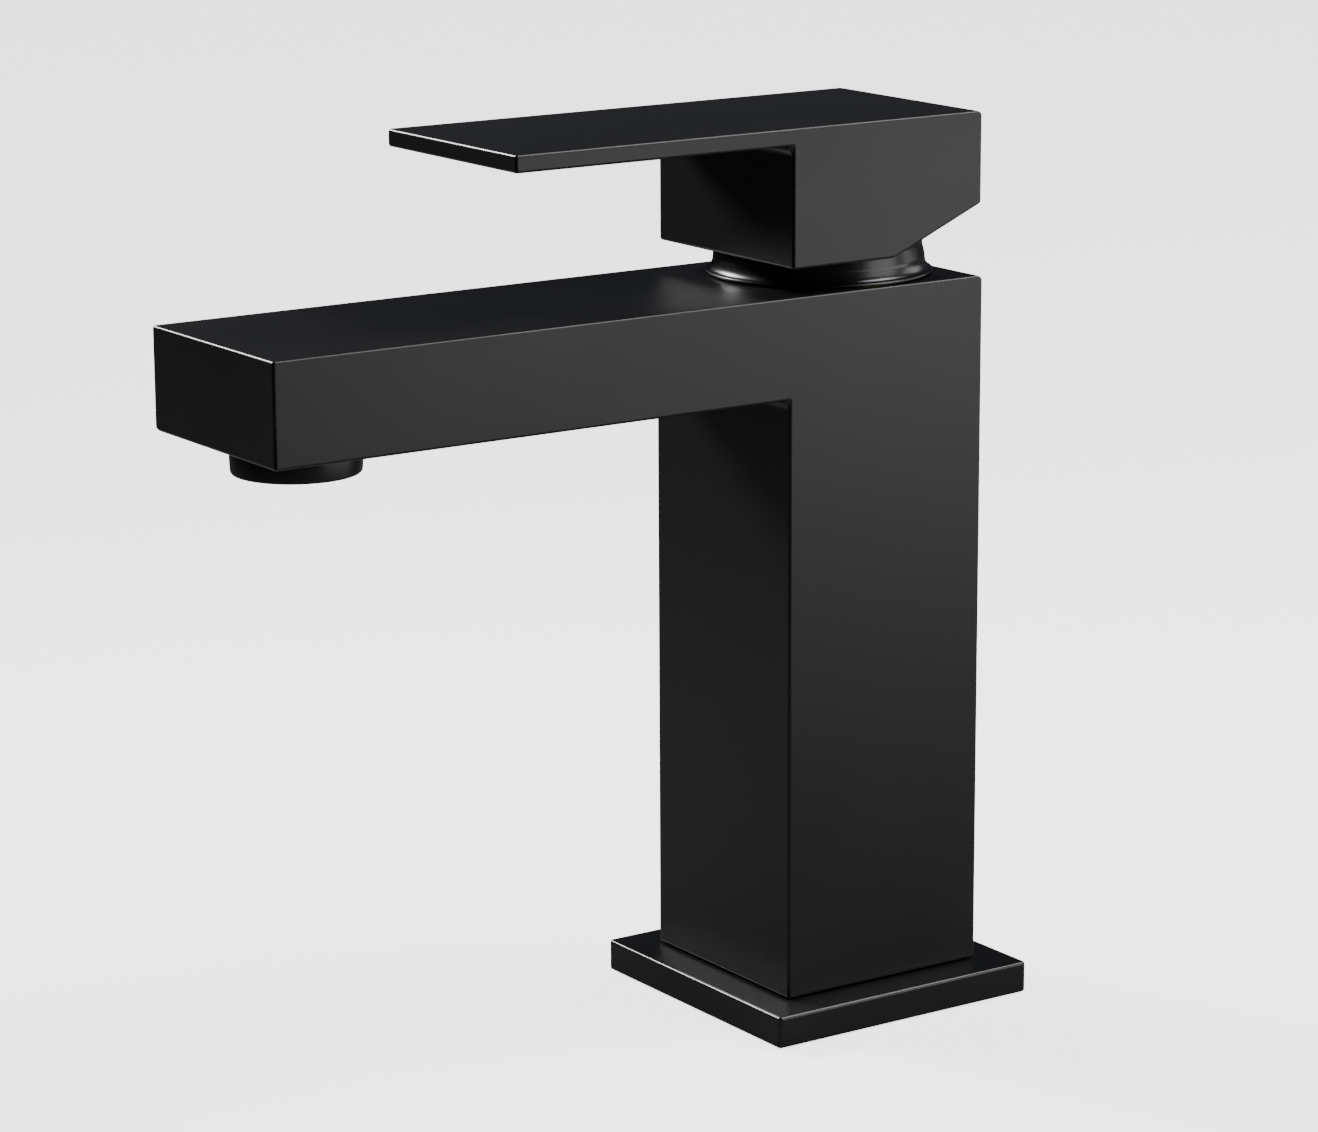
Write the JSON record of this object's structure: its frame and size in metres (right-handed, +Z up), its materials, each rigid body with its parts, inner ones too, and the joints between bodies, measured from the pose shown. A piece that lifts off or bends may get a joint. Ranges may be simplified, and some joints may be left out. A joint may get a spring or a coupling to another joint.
{
  "type": "bathroom mixer faucet",
  "caption": "Square single-lever basin mixer with a flat lever over a boxy spout, a round dome collar, a round aerator and a square base plate.",
  "frame": {"origin": "where the column's axis meets the deck, on the underside of the body's round foot", "axes": "+Z up the column, -Y along the spout towards the user, +X to the user's right, the cold side"},
  "size_m": [0.0564, 0.1552, 0.1672],
  "materials": {
    "satin_black": "satin",
    "brass": "satin",
    "steel": "satin",
    "rubber": "matte",
    "white_plastic": "satin",
    "grey_plastic": "satin",
    "red_plastic": "satin",
    "disc_ceramic": "gloss"
  },
  "bodies": {
    "body": {"faucet_body": "satin_black", "base_plate": "satin_black", "base_gasket": "rubber", "plate_o_ring": "rubber", "dome_cap": "satin_black", "cap_o_ring": "rubber", "retaining_nut": "brass", "cartridge_base": "white_plastic", "hot_inlet_seal": "rubber", "cold_inlet_seal": "rubber", "cartridge_housing": "white_plastic", "housing_o_ring": "rubber", "fixed_disc": "disc_ceramic", "stop_ring": "red_plastic", "aerator_shell": "satin_black", "aerator_washer": "rubber", "flow_regulator": "red_plastic", "aerator_insert": "white_plastic", "aerator_screen": "steel"},
    "swivel": {"rotor": "grey_plastic", "stem_pin": "steel"},
    "lever": {"handle": "satin_black", "stem": "brass", "handle_screw": "steel", "handle_plug": "satin_black"},
    "disc_slider": {"disc_carrier": "grey_plastic", "moving_disc": "disc_ceramic"}
  },
  "joints": [
    {"name": "temperature_swivel", "type": "hinge", "parent": "body", "child": "swivel", "pos_m": [0, 0, 0.142], "axis": [0, 0, 1], "range_deg": [-50, 50]},
    {"name": "handle_lift", "type": "hinge", "parent": "swivel", "child": "lever", "pos_m": [0, 0, 0.142], "axis": [-1, 0, 0], "range_deg": [0, 25]},
    {"name": "disc_slide", "type": "slide", "parent": "swivel", "child": "disc_slider", "axis": [0, -1, 0], "range_m": [0, 0.0063]}
  ],
  "couplings": [
    {"joint": "disc_slide", "follows": "handle_lift", "m_per_rad": 0.01443}
  ]
}
